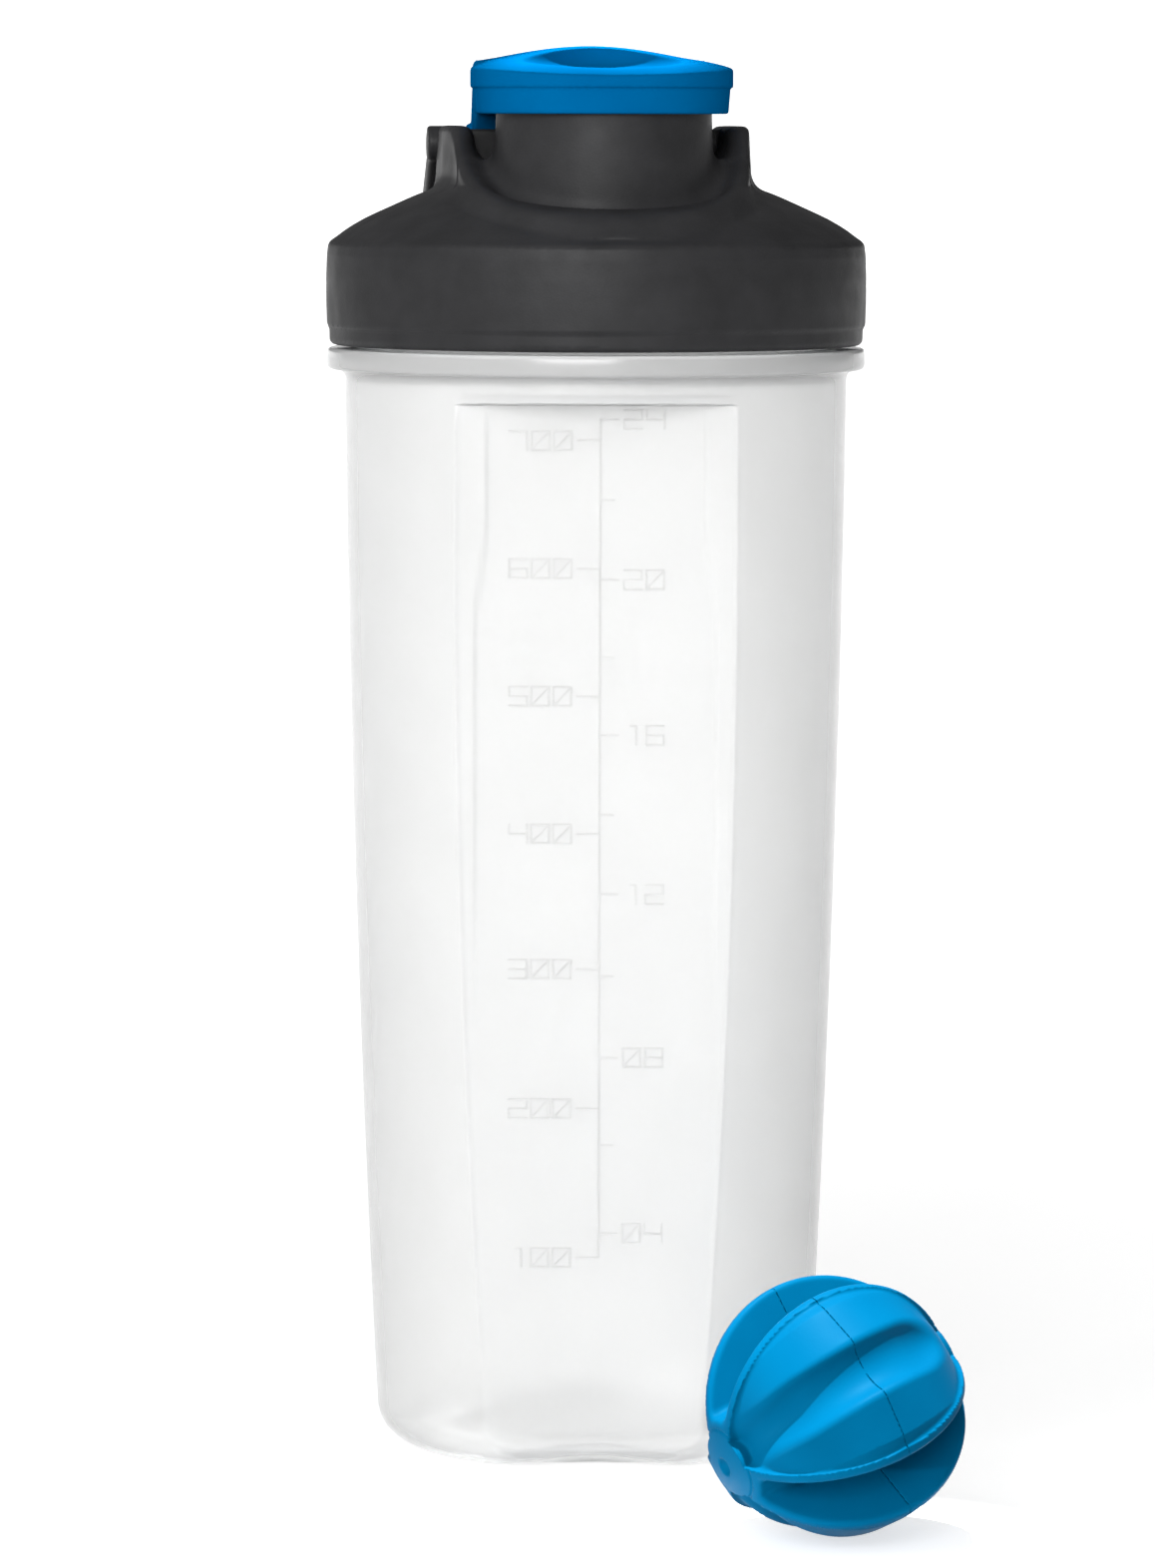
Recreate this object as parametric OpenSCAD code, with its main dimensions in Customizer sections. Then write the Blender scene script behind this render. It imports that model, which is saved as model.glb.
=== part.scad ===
// Shaker bottle: translucent body, screw lid with flip cap and carry loop, and a loose agitator ball.
// Origin at the centre of the base, +Z up, -Y towards the front of the bottle.

/* [Body] */
// Outside radius of the body at the floor, before the corner is rounded
foot_r = 36.3; // [34:0.1:38]
// Outside radius of the body under the flange
top_r = 42.1; // [41.5:0.1:43]
// How far the side bows out of a straight taper
side_bow = 1.05; // [0:0.05:1.5]
// Wall of the body
wall = 1.4; // [1:0.1:2]
// Radius of the rounded corner at the foot
foot_round = 6.6; // [5:0.1:9]
// Height of the flange's top face, where the lid stops
flange_z = 185.0; // [175:1:195]
// Outside radius of the flange
flange_r = 45.1; // [44:0.1:46]
// Distance of the flat grip panels from the axis at the floor
panel_foot = 31.9; // [30:0.1:33]
// Distance of the flat grip panels from the axis at their top
panel_top = 35.2; // [33:0.1:36]
// Height at which the grip panels end
panel_z = 177.0; // [160:0.5:178]
// Height of the foot's arch under each grip panel
arch_h = 2.3; // [1:0.1:3]

/* [Neck and thread] */
// Outside radius of the neck
neck_r = 40.6; // [40:0.1:41]
// Height of the neck above the flange
neck_h = 14.4; // [13:0.1:15]
// Rise of the thread in one full turn
thread_lead = 10.0; // [8:1:12]
// Number of thread starts
thread_starts = 2; // [1:1:3]
// Angle covered by each thread ridge
thread_angle = 240; // [180:10:270]

/* [Lid] */
// Outside radius of the lid's skirt at its widest
skirt_r = 45.3; // [45:0.1:46]
// Gap between the lid's skirt and the flange
skirt_gap = 0.5; // [0.3:0.1:1]
// Resting turn of the lid on the neck
lid_turn = 5; // [0:1:10]
// Distance of the spout's axis in front of the bottle's axis
spout_front = 13.5; // [12:0.5:15]
// Outside radius of the spout
spout_r = 17.9; // [17:0.1:18.5]
// Wall of the spout
spout_wall = 2.4; // [2:0.1:3]
// Height of the spout's rim
spout_z = 227.5; // [226:0.1:228]
// Distance of the hinge axis behind the bottle's axis
hinge_back = 18.0; // [17:0.5:19]
// Height of the hinge axis
hinge_z = 219.0; // [218.5:0.1:219.5]
// Half the outside width across the two ears
ear_half = 25.9; // [25.5:0.1:26.2]
// Height of the ears' tops
ear_z = 222.0; // [221.5:0.1:222.5]

/* [Flip cap] */
// Radius of the cap's round front
cap_r = 21.6; // [21.4:0.1:22.0]
// Height of the cap's lower edge
cap_z = 224.0; // [223.8:0.1:224.4]
// Height of the cap's top at the hinge end
cap_top_z = 235.4; // [235:0.1:236.5]

/* [Carry loop] */
// Distance from the hinge axis to the middle of the loop's grip bar
loop_reach = 44; // [42:1:48]
// Thickness of the loop
loop_t = 4.2; // [3.5:0.1:5]
// Angle below level at which the loop rests
loop_droop = 32; // [28:1:33]

/* [Agitator ball] */
// Outside radius of the ball
ball_r = 21.2; // [19:0.1:22]
// Distance of the ball's centre to the right of the bottle's axis
ball_right = 37.5; // [30:0.1:60]
// Distance of the ball's centre in front of the bottle's axis
ball_front = 92; // [75:1:120]
// Angle of each open channel about the ball's pole axis
channel_angle = 31; // [28:1:46]

/* [Hidden] */
$fn = 96;
e = 0.01;
floor_t = 2.2;
punt_r = 22;
punt_h = 1.8;
neck_wall = 2.2;
neck_top_z = flange_z + neck_h;
flange_t = 3.6;
gasket_t = 1.2;
ceiling_z = neck_top_z + gasket_t;
skirt_z = flange_z + skirt_gap;
bore_r = neck_r + 2.3;
ridge_depth = 1.6;
ridge_w = 2.2;
ridge_root = 0.7;
ridge_step = 8;
pin_r = 1.5;
pin_fit = 0.05;
lug_r = 3.2;
hub_r = 2.9;
ear_in = 20.9;
hub_in = 23.4;
hub_out = 27.2;
rail_w = hub_out - hub_in - 0.6;
loop_round = 11;
deck_z = 215.3;
web_y = [3.5, 7.4];
web_z = 221.4;
arch_half = 17;
arch_tilt = 20;
arch_in = 0.5;
arch_len = 40;
barrel_half = ear_in - 0.3;
block_half = 19.8;
notch_in = 3.6;
notch_z = 211.6;
cap_front = 12.3;
cap_roof_z = spout_z + 1.7;
rotor_axis = [-0.817, -0.450, -0.360];
rotor_turn = 20;
pole_angle = 20;
pole_groove = 0.35;
pole_groove_w = 1.2;
gate_r = 1.5;
core_r = 7.4;
ml_heights = [35.7, 60.6, 83.8, 106.2, 128.9, 149.9, 170.9];
ounce_heights = [39.8, 69.1, 96.2, 122.5, 148.1, 174.4];
scale_x = 0.45;
line_w = 0.5;
line_out = 0.5;
ml_tick = 3.5;
ounce_tick = 2.9;
half_tick = 2.2;
scoop_r = 48;
scoop_y = -12.7;
scoop_floor = 2;
crown_r = 72;
crown_tilt = 6.5;
collar_r = 24.2;
collar_foot_r = 29.7;
collar_foot_z = 203.9;
collar_wall_z = 212.2;
pocket_r = 24;
pocket_y = 8;
pocket_z = 209.2;
wedge_wall = 2.2;
wedge_r = 9.2;

function arc(cx, cy, r, a0, a1, n) =
    [for (i = [0:n]) let (a = a0 + (a1 - a0) * i / n) [cx + r * cos(a), cy + r * sin(a)]];
function side_r(z) = let (t = z / flange_z) foot_r + (top_r - foot_r) * t + 4 * side_bow * t * (1 - t);
function unit(v) = v / norm(v);

// A helical ridge, z rising with the angle, standing from radius root to radius crest
module helix_ridge(root, crest, z0, angle, width) {
    steps = ceil(angle / ridge_step);
    function grow(i) = min(1, 0.15 + i / 2, 0.15 + (steps - i) / 2);
    pts = [for (i = [0:steps]) let (
            a = angle * i / steps,
            z = z0 + thread_lead * a / 360,
            r = root + (crest - root) * grow(i),
            ring = [[root, z - width / 2], [r, z - width / 4], [r, z + width / 4], [root, z + width / 2]])
        for (p = ring) [p[0] * cos(a), p[0] * sin(a), p[1]]];
    sides = [for (i = [0:steps - 1], k = [0:3]) let (
            a = 4 * i + k, b = 4 * i + (k + 1) % 4)
        each [[a, b, b + 4], [a, b + 4, a + 4]]];
    last = 4 * steps;
    flip = crest > root;
    faces = concat(sides, [[0, 3, 2], [0, 2, 1], [last, last + 1, last + 2], [last, last + 2, last + 3]]);
    polyhedron(pts, [for (f = faces) flip ? f : [f[2], f[1], f[0]]]);
}

module on_lid() {
    rotate([0, 0, lid_turn]) children();
}

module at_spout() {
    translate([0, -spout_front, 0]) children();
}

// A pin or hole along the hinge axis between two x positions
module along_hinge(x0, x1, r) {
    translate([x0, hinge_back, hinge_z]) rotate([0, 90, 0]) cylinder(r = r, h = x1 - x0);
}

// A side outline in Y and Z, swept along X over a width centred on the axis
module across(half) {
    rotate([90, 0, 90]) translate([0, 0, -half]) linear_extrude(2 * half) children();
}

// The region outside both grip panels, pushed inwards by in
module panels(in) {
    tilt = atan((panel_top - panel_foot) / panel_z);
    for (side = [0, 180]) {
        rotate([0, 0, side]) intersection() {
            translate([0, -panel_foot + in, 0]) rotate([tilt, 0, 0])
                translate([-60, -60, -5]) cube([120, 60, 300]);
            translate([-60, -60, -5]) cube([120, 60, panel_z + in + 5]);
        }
    }
}

// The space under the foot's arches, raised by up
module arches(up) {
    r = (arch_half * arch_half + arch_h * arch_h) / (2 * arch_h);
    for (side = [0, 180]) {
        rotate([0, 0, side]) translate([0, -panel_foot + arch_in, arch_h + up]) rotate([-arch_tilt, 0, 0])
            translate([0, arch_len / 2, -r]) rotate([90, 0, 0]) cylinder(r = r, h = arch_len, $fn = 360);
    }
}

module outer_form() {
    side = [for (i = [0:7]) let (z = foot_round + (flange_z - 8 - foot_round) * i / 7) [side_r(z), z]];
    rotate_extrude() polygon(concat(
        [[0, 0]],
        arc(side_r(foot_round) - foot_round, foot_round, foot_round, -90, -10, 8),
        side,
        [[side_r(flange_z - 8) + 0.5, flange_z - 5.4], [flange_r - 0.7, flange_z - flange_t],
            [flange_r, flange_z - flange_t + 0.7], [flange_r, flange_z - 0.6],
            [flange_r - 0.6, flange_z], [neck_r, flange_z], [neck_r, neck_top_z], [0, neck_top_z]]));
}

module inner_form() {
    in_round = foot_round - wall;
    z0 = floor_t + in_round;
    side = [for (i = [0:7]) let (z = z0 + (flange_z - 4 - z0) * i / 7) [side_r(z) - wall, z]];
    rotate_extrude() polygon(concat(
        [[0, floor_t + punt_h], [punt_r, floor_t + punt_h], [punt_r + 2, floor_t]],
        arc(side_r(z0) - wall - in_round, z0, in_round, -90, -10, 8),
        side,
        [[neck_r - neck_wall, flange_z], [neck_r - neck_wall, neck_top_z + e], [0, neck_top_z + e]]));
}

module bottle_body() {
    color([0.93, 0.95, 0.97, 0.5]) {
        difference() {
            outer_form();
            panels(0);
            arches(0);
            difference() {
                inner_form();
                panels(wall);
                arches(wall);
            }
            translate([0, 0, -e]) cylinder(r1 = punt_r + 1.2, r2 = punt_r, h = punt_h);
        }
        for (s = [0:thread_starts - 1]) {
            rotate([0, 0, s * 360 / thread_starts])
                helix_ridge(neck_r - ridge_root, neck_r + ridge_depth, flange_z + 3.4, thread_angle, ridge_w);
        }
        graduations();
    }
}

// One raised bar of the scale, from its lower left corner, standing line_out off the panel
module bar(x, z, w, h) {
    translate([x, -line_out, z]) cube([w, line_out + 0.3, h]);
}

// The scale on the front panel: an upright line, millilitre ticks on its left and ounce ticks on its right
module graduations() {
    tilt = atan((panel_top - panel_foot) / panel_z);
    last = len(ounce_heights) - 1;
    right = scale_x + line_w - 0.1;
    translate([0, -panel_foot, 0]) rotate([tilt, 0, 0]) {
        bar(scale_x, ml_heights[0] - line_w / 2, line_w, ounce_heights[last] - ml_heights[0] + line_w);
        for (z = ml_heights) {
            bar(scale_x + 0.1 - ml_tick, z - line_w / 2, ml_tick, line_w);
        }
        for (z = ounce_heights) {
            bar(right, z - line_w / 2, ounce_tick, line_w - 0.02);
        }
        for (i = [1:last]) {
            bar(right, (ounce_heights[i - 1] + ounce_heights[i] - line_w) / 2, half_tick, line_w);
        }
    }
}

module lid_form() {
    rotate_extrude() polygon([[0, skirt_z], [skirt_r - 1.1, skirt_z], [skirt_r - 0.6, skirt_z + 0.6],
        [skirt_r - 0.6, skirt_z + 3.0], [skirt_r - 0.25, skirt_z + 3.3], [skirt_r, skirt_z + 8],
        [skirt_r, skirt_z + 13], [skirt_r - 0.2, skirt_z + 16], [skirt_r - 0.9, skirt_z + 17.7],
        [skirt_r - 1.8, skirt_z + 18.5], [41.0, 205.6], [37.0, 207.8], [32.9, 209.7], [29.0, 211.2],
        [20, 213.2], [0, 213.6]]);
}

// Outline of the collar and ears seen from the side
module ear_outline() {
    polygon(concat(
        [[-46, 190], [-46, 205.6], [-38.6, 208.2], [-30, 210.0], [-21, 212.8], [-14, 216.4], [-9, 220.8],
            [-6, ear_z]],
        arc(hinge_back, hinge_z, lug_r, 70, 0, 6),
        [[hinge_back + lug_r + 1, 190]]));
}

module collar_plan() {
    translate([0, -spout_front]) circle(r = collar_r);
    polygon([[-24.0, -18], [-ear_half, -6], [-ear_half, 30], [ear_half, 30], [ear_half, -6], [24.0, -18]]);
}

// Collar and ears: upright walls, with a sloping foot round the front
module collar() {
    intersection() {
        union() {
            translate([0, 0, 190]) linear_extrude(40) collar_plan();
            at_spout() translate([0, 0, collar_foot_z])
                cylinder(r1 = collar_foot_r, r2 = collar_r, h = collar_wall_z - collar_foot_z);
        }
        across(46) ear_outline();
    }
}

// The open space around the spout and between the ears
module moat() {
    difference() {
        translate([0, 0, 204]) linear_extrude(30) {
            translate([0, -spout_front]) circle(r = 22.0);
            translate([-ear_in, -12]) square([2 * ear_in, 50]);
        }
        at_spout() translate([0, 0, 190]) cylinder(r1 = spout_r + 1.6, r2 = spout_r + 0.01, h = 30);
        across(40) polygon([[-60, 190], [-60, 205.4], [-34.5, 205.4], [-12.5, deck_z], [40, deck_z], [40, 190]]);
    }
}

module lid_shell() {
    color([0.2, 0.2, 0.21]) {
        difference() {
            union() {
                on_lid() difference() {
                    union() {
                        lid_form();
                        collar();
                    }
                    moat();
                    for (side = [-1, 1]) {
                        translate([side * (hub_in + 4.8) - 5, hinge_back - notch_in, notch_z]) cube([10, 30, 20]);
                    }
                }
                on_lid() at_spout() {
                    translate([0, 0, 204]) cylinder(r1 = spout_r + 1.4, r2 = spout_r, h = 14);
                    translate([0, 0, 204]) cylinder(r = spout_r, h = spout_z - 204);
                }
                on_lid() translate([-ear_in - 1, web_y[0], deck_z - 1])
                    cube([2 * ear_in + 2, web_y[1] - web_y[0], web_z - deck_z + 1]);
            }
            translate([0, 0, skirt_z - e]) cylinder(r = bore_r, h = ceiling_z - skirt_z + e);
            translate([0, 0, skirt_z]) cylinder(r = neck_r - neck_wall - 0.4, h = 203.2 - skirt_z);
            on_lid() {
                at_spout() translate([0, 0, 190]) cylinder(r = spout_r - spout_wall, h = 50);
                along_hinge(-40, 40, pin_r + pin_fit);
                difference() {
                    translate([0, pocket_y, 200]) cylinder(r = pocket_r, h = pocket_z - 200);
                    at_spout() translate([0, 0, 190]) cylinder(r = spout_r + 0.4, h = 30);
                }
            }
        }
        for (s = [0:thread_starts - 1]) {
            rotate([0, 0, s * 360 / thread_starts])
                helix_ridge(bore_r + ridge_root, bore_r - ridge_depth, flange_z + 3.4 + thread_lead / 4,
                    thread_angle, ridge_w);
        }
    }
}

module lid_gasket() {
    color([0.75, 0.76, 0.78]) translate([0, 0, neck_top_z]) difference() {
        cylinder(r = bore_r - 0.5, h = gasket_t);
        translate([0, 0, -e]) cylinder(r = neck_r - neck_wall + 0.1, h = gasket_t + 2 * e);
    }
}

module cap_plan(out) {
    translate([0, -cap_front]) circle(r = cap_r + out);
    polygon([[-cap_r - out + 0.3, -cap_front + 3], [-block_half, 11], [-block_half, 14], [block_half, 14],
        [block_half, 11], [cap_r + out - 0.3, -cap_front + 3]]);
}

// Outline of the cap seen from the side, sloping down to the front
module cap_outline(z0) {
    polygon([[-40, z0], [-40, 229.4], [-34.6, 230.4], [-28.5, 231.6], [0, 234.5], [9, cap_top_z],
        [14.5, cap_top_z - 1], [16, z0]]);
}

module flip_cap() {
    color([0.0, 0.58, 0.85]) on_lid() difference() {
        union() {
            intersection() {
                translate([0, 0, cap_z]) linear_extrude(20) cap_plan(-0.5);
                across(40) cap_outline(cap_z);
                crown();
            }
            intersection() {
                translate([0, 0, cap_z + 4.3]) linear_extrude(20) cap_plan(0);
                across(40) cap_outline(cap_z);
                crown();
            }
            across(block_half) polygon([[8.6, cap_z], [hinge_back - 2.6, hinge_z - 1.6],
                [hinge_back + 2.8, hinge_z + 1.2], [hinge_back - 1, cap_z + 4], [12, cap_z + 9]]);
            along_hinge(-barrel_half, barrel_half, lug_r);
        }
        translate([0, 0, cap_z - e]) linear_extrude(cap_roof_z - cap_z + e) {
            translate([0, -cap_front]) circle(r = cap_r - 2.1);
            translate([-cap_r + 3.6, -cap_front]) square([2 * cap_r - 7.2, 18.6]);
        }
        along_hinge(-40, 40, pin_r + pin_fit);
        translate([0, scoop_y, cap_roof_z + scoop_floor + scoop_r]) rotate([90, 0, 0]) sphere(r = scoop_r);
    }
}

// The crown across the cap's top, highest on the centre line
module crown() {
    rotate([90 - crown_tilt, 0, 0]) translate([0, cap_top_z - crown_r + 0.1, -90])
        cylinder(r = crown_r, h = 180, $fn = 180);
}

module spout_seal() {
    color([0.82, 0.84, 0.86]) on_lid() at_spout() difference() {
        union() {
            translate([0, 0, spout_z]) cylinder(r = spout_r - 0.3, h = cap_roof_z - spout_z);
            translate([0, 0, spout_z - 2.5]) cylinder(r1 = 13.4, r2 = spout_r - spout_wall - 0.4, h = 2.5 + e);
        }
        translate([0, 0, spout_z - 2.5 - e]) cylinder(r = 11.2, h = 2.2);
    }
}

module hinge_pin() {
    color([0.75, 0.76, 0.78]) on_lid() along_hinge(-hub_out + 1.2, hub_out - 1.2, pin_r);
}

// One quarter turn of the loop's rail about the origin, from +X round to +Y
module loop_corner() {
    rotate_extrude(angle = 90) translate([loop_round - rail_w / 2, -loop_t / 2]) square([rail_w, loop_t]);
}

// The loop lying flat, hinge axis along X through the origin and its grip bar towards +Y
module loop_rail() {
    arm_x = (hub_in + hub_out) / 2;
    arm_l = loop_reach - loop_round;
    for (side = [-1, 1]) {
        translate([side * arm_x - rail_w / 2, -1, -loop_t / 2]) cube([rail_w, arm_l + 1, loop_t]);
    }
    translate([arm_x - loop_round, arm_l, 0]) loop_corner();
    translate([loop_round - arm_x, arm_l, 0]) rotate([0, 0, 90]) loop_corner();
    translate([loop_round - arm_x, loop_reach - rail_w / 2, -loop_t / 2])
        cube([2 * (arm_x - loop_round), rail_w, loop_t]);
}

module carry_loop() {
    color([0.2, 0.2, 0.21]) on_lid() difference() {
        union() {
            translate([0, hinge_back, hinge_z]) rotate([-loop_droop, 0, 0]) loop_rail();
            along_hinge(-hub_out, -hub_in, hub_r);
            along_hinge(hub_in, hub_out, hub_r);
        }
        along_hinge(-hub_out + 1, hub_out - 1, pin_r + pin_fit);
    }
}

// A slice of a circle about the axis, from radius r0 outwards
module sector(r0, r1, half_angle) {
    difference() {
        polygon([[0, 0], [r1 * cos(half_angle), r1 * sin(half_angle)], [1.3 * r1, 0],
            [r1 * cos(half_angle), -r1 * sin(half_angle)]]);
        circle(r = r0);
    }
}

// One moulded half of the ball: three hollow wedges round a core, with open channels between them
module half_ball() {
    wedge_half = 60 - channel_angle / 2;
    difference() {
        rotate_extrude() intersection() {
            circle(r = ball_r);
            square(ball_r + 1);
        }
        for (k = [0:2]) {
            rotate([0, 0, 120 * k + 60]) translate([0, 0, -1])
                linear_extrude(ball_r * cos(pole_angle) + 1) sector(core_r, 30, channel_angle / 2);
            rotate([0, 0, 120 * k]) intersection() {
                translate([0, 0, -1]) linear_extrude(14) sector(wedge_r, 30, wedge_half - 7);
                sphere(r = ball_r - wedge_wall);
            }
        }
        translate([0, 0, ball_r - 0.9]) cylinder(r = gate_r, h = 2);
        rotate_extrude() rotate([0, 0, 90 - pole_angle])
            translate([ball_r - pole_groove, -pole_groove_w / 2]) square([2, pole_groove_w]);
    }
}

// Carries the ball's own frame, pole axis along Z, to where it lies in front of the bottle
module ball_place() {
    a = unit(rotor_axis);
    toward = [0, -1, 0];
    e1 = unit(toward - (toward * a) * a);
    e2 = cross(a, e1);
    multmatrix([[e1.x, e2.x, a.x, ball_right], [e1.y, e2.y, a.y, -ball_front], [e1.z, e2.z, a.z, ball_r],
        [0, 0, 0, 1]]) children();
}

module agitator_near_half() {
    color([0.0, 0.58, 0.85]) ball_place() rotate([0, 0, rotor_turn]) half_ball();
}

module agitator_far_half() {
    color([0.0, 0.56, 0.83]) ball_place() rotate([0, 0, rotor_turn]) mirror([0, 0, 1]) half_ball();
}

bottle_body();
lid_shell();
lid_gasket();
flip_cap();
spout_seal();
hinge_pin();
carry_loop();
agitator_near_half();
agitator_far_half();
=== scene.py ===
import math
import bpy
import numpy as np
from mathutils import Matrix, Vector


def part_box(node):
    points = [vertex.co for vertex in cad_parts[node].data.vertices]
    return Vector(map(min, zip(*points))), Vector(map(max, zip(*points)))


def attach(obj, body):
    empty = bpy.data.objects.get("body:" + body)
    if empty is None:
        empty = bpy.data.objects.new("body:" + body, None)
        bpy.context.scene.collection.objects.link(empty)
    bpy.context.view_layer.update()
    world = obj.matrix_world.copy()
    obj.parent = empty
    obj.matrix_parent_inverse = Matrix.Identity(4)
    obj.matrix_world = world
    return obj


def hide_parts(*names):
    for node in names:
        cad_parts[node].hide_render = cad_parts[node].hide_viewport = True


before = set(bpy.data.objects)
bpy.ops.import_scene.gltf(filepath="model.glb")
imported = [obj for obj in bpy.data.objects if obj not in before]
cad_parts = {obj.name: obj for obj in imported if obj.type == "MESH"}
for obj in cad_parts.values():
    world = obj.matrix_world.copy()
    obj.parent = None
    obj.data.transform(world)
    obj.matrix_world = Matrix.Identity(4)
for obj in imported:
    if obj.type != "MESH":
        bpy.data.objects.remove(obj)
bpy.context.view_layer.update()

MM = 0.001


def span(name):
    """Lower and upper corner of a CAD node, in mm."""
    low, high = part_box(name)
    return np.array(low) / MM, np.array(high) / MM


BODY, LID, GASKET = span("bottle_body"), span("lid_shell"), span("lid_gasket")
SEAL, PIN = span("spout_seal"), span("hinge_pin")

# ---------------------------------------------------------------- distance fields
CURVE_STEP = 0.05           # mm between the points of a softened curve
FAR_OFF = 1e9               # more than any squared distance here
BLOCK, BATCH = 12, 200      # cells along a block's edge, and blocks worked out at a time
HALF_DIAGONAL = 0.87        # of a cube with edge 1
STEEPEST = 1.25             # how much faster than true distance a field may grow
PULLS, PULL_REACH = 3, 0.04     # times that vertices are pulled onto the surface, and the slope's step for it
LONGEST_PULL, LEAST_SLOPE = 0.4, 0.2    # a pull's limit in grid steps, and the smallest squared slope
NORMAL_REACH = 0.06         # the slope's step for shading normals
TINY = 1e-9


def smin(a, b, k):
    """Union of two distance fields with a fillet of about k."""
    h = np.clip(0.5 + 0.5 * (b - a) / k, 0.0, 1.0)
    return b + (a - b) * h - k * h * (1.0 - h)


def smax(a, b, k):
    """Intersection of two distance fields with a rounded edge of about k."""
    return -smin(-a, -b, k)


def step01(a, b, v):
    """Smooth step from 0 at a to 1 at b."""
    t = np.clip((v - a) / (b - a), 0.0, 1.0)
    return t * t * (3.0 - 2.0 * t)


def outline(u, v, points):
    """Signed distance in a plane to a closed outline, negative inside."""
    best = np.full(u.shape, FAR_OFF, np.float32)
    sign = np.ones(u.shape, np.float32)
    for i, (ax, ay) in enumerate(points):
        bx, by = points[i - 1]
        ex, ey = bx - ax, by - ay
        wx, wy = u - ax, v - ay
        t = np.clip((wx * ex + wy * ey) / (ex * ex + ey * ey), 0.0, 1.0)
        best = np.minimum(best, (wx - ex * t) ** 2 + (wy - ey * t) ** 2)
        above, below, left = v >= ay, v < by, ex * wy > ey * wx
        sign = np.where((above & below & left) | ~(above | below | left), -sign, sign)
    return sign * np.sqrt(best)


def smooth_curve(points, blur):
    """A function that gives value and slope of a curve through (position, value) points, softened over blur mm."""
    points = np.array(points, float)
    at = np.arange(points[0, 0], points[-1, 0] + CURVE_STEP, CURVE_STEP)
    value = np.interp(at, points[:, 0], points[:, 1])
    reach = max(1, int(blur / CURVE_STEP))
    kernel = np.hanning(2 * reach + 3)[1:-1]
    value = np.convolve(np.pad(value, reach, mode="edge"), kernel / kernel.sum(), mode="valid")
    slope = np.gradient(value, at)
    return lambda v: (np.interp(v, at, value).astype(np.float32), np.interp(v, at, slope).astype(np.float32))


def below_curve(u, v, curve):
    """Rough distance to the region v < curve(u), exact near a smooth curve."""
    value, slope = curve(u)
    return (v - value) / np.sqrt(1.0 + slope * slope)


def unit(vectors):
    return vectors / np.maximum(np.linalg.norm(vectors, axis=1, keepdims=True), TINY)


def gradient(field, p, h):
    """The field and its slope at points."""
    p = p.astype(float)
    d = field(p[:, 0], p[:, 1], p[:, 2])
    slope = np.empty_like(p)
    for n in range(3):
        more, less = p.copy(), p.copy()
        more[:, n] += h
        less[:, n] -= h
        slope[:, n] = (field(*more.T) - field(*less.T)) / (2 * h)
    return d, slope


def sampled(field, lo, hi, step):
    """The field on a grid between two corners: fine in blocks near its zero level, one value per block elsewhere."""
    blocks = np.ceil((hi - lo) / (step * BLOCK)).astype(int)
    size = BLOCK * step
    grid = np.stack(np.meshgrid(*[np.arange(n) for n in blocks], indexing="ij"), -1).reshape(-1, 3)
    centre = (lo + (grid + 0.5) * size).astype(np.float32)
    mid = field(centre[:, 0], centre[:, 1], centre[:, 2])
    values = np.repeat(np.repeat(np.repeat(mid.reshape(blocks), BLOCK, 0), BLOCK, 1), BLOCK, 2)
    values = np.pad(values, ((0, 1), (0, 1), (0, 1)), mode="edge").astype(np.float32)
    near = grid[np.abs(mid) < size * HALF_DIAGONAL * STEEPEST + step]
    local = np.stack(np.meshgrid(*[np.arange(BLOCK + 1)] * 3, indexing="ij"), -1).reshape(-1, 3)
    for part in np.array_split(near, max(1, len(near) // BATCH)):
        cells = (part[:, None, :] * BLOCK + local[None]).reshape(-1, 3)
        p = (lo + cells * step).astype(np.float32)
        values[cells[:, 0], cells[:, 1], cells[:, 2]] = field(p[:, 0], p[:, 1], p[:, 2])
    return values


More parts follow.
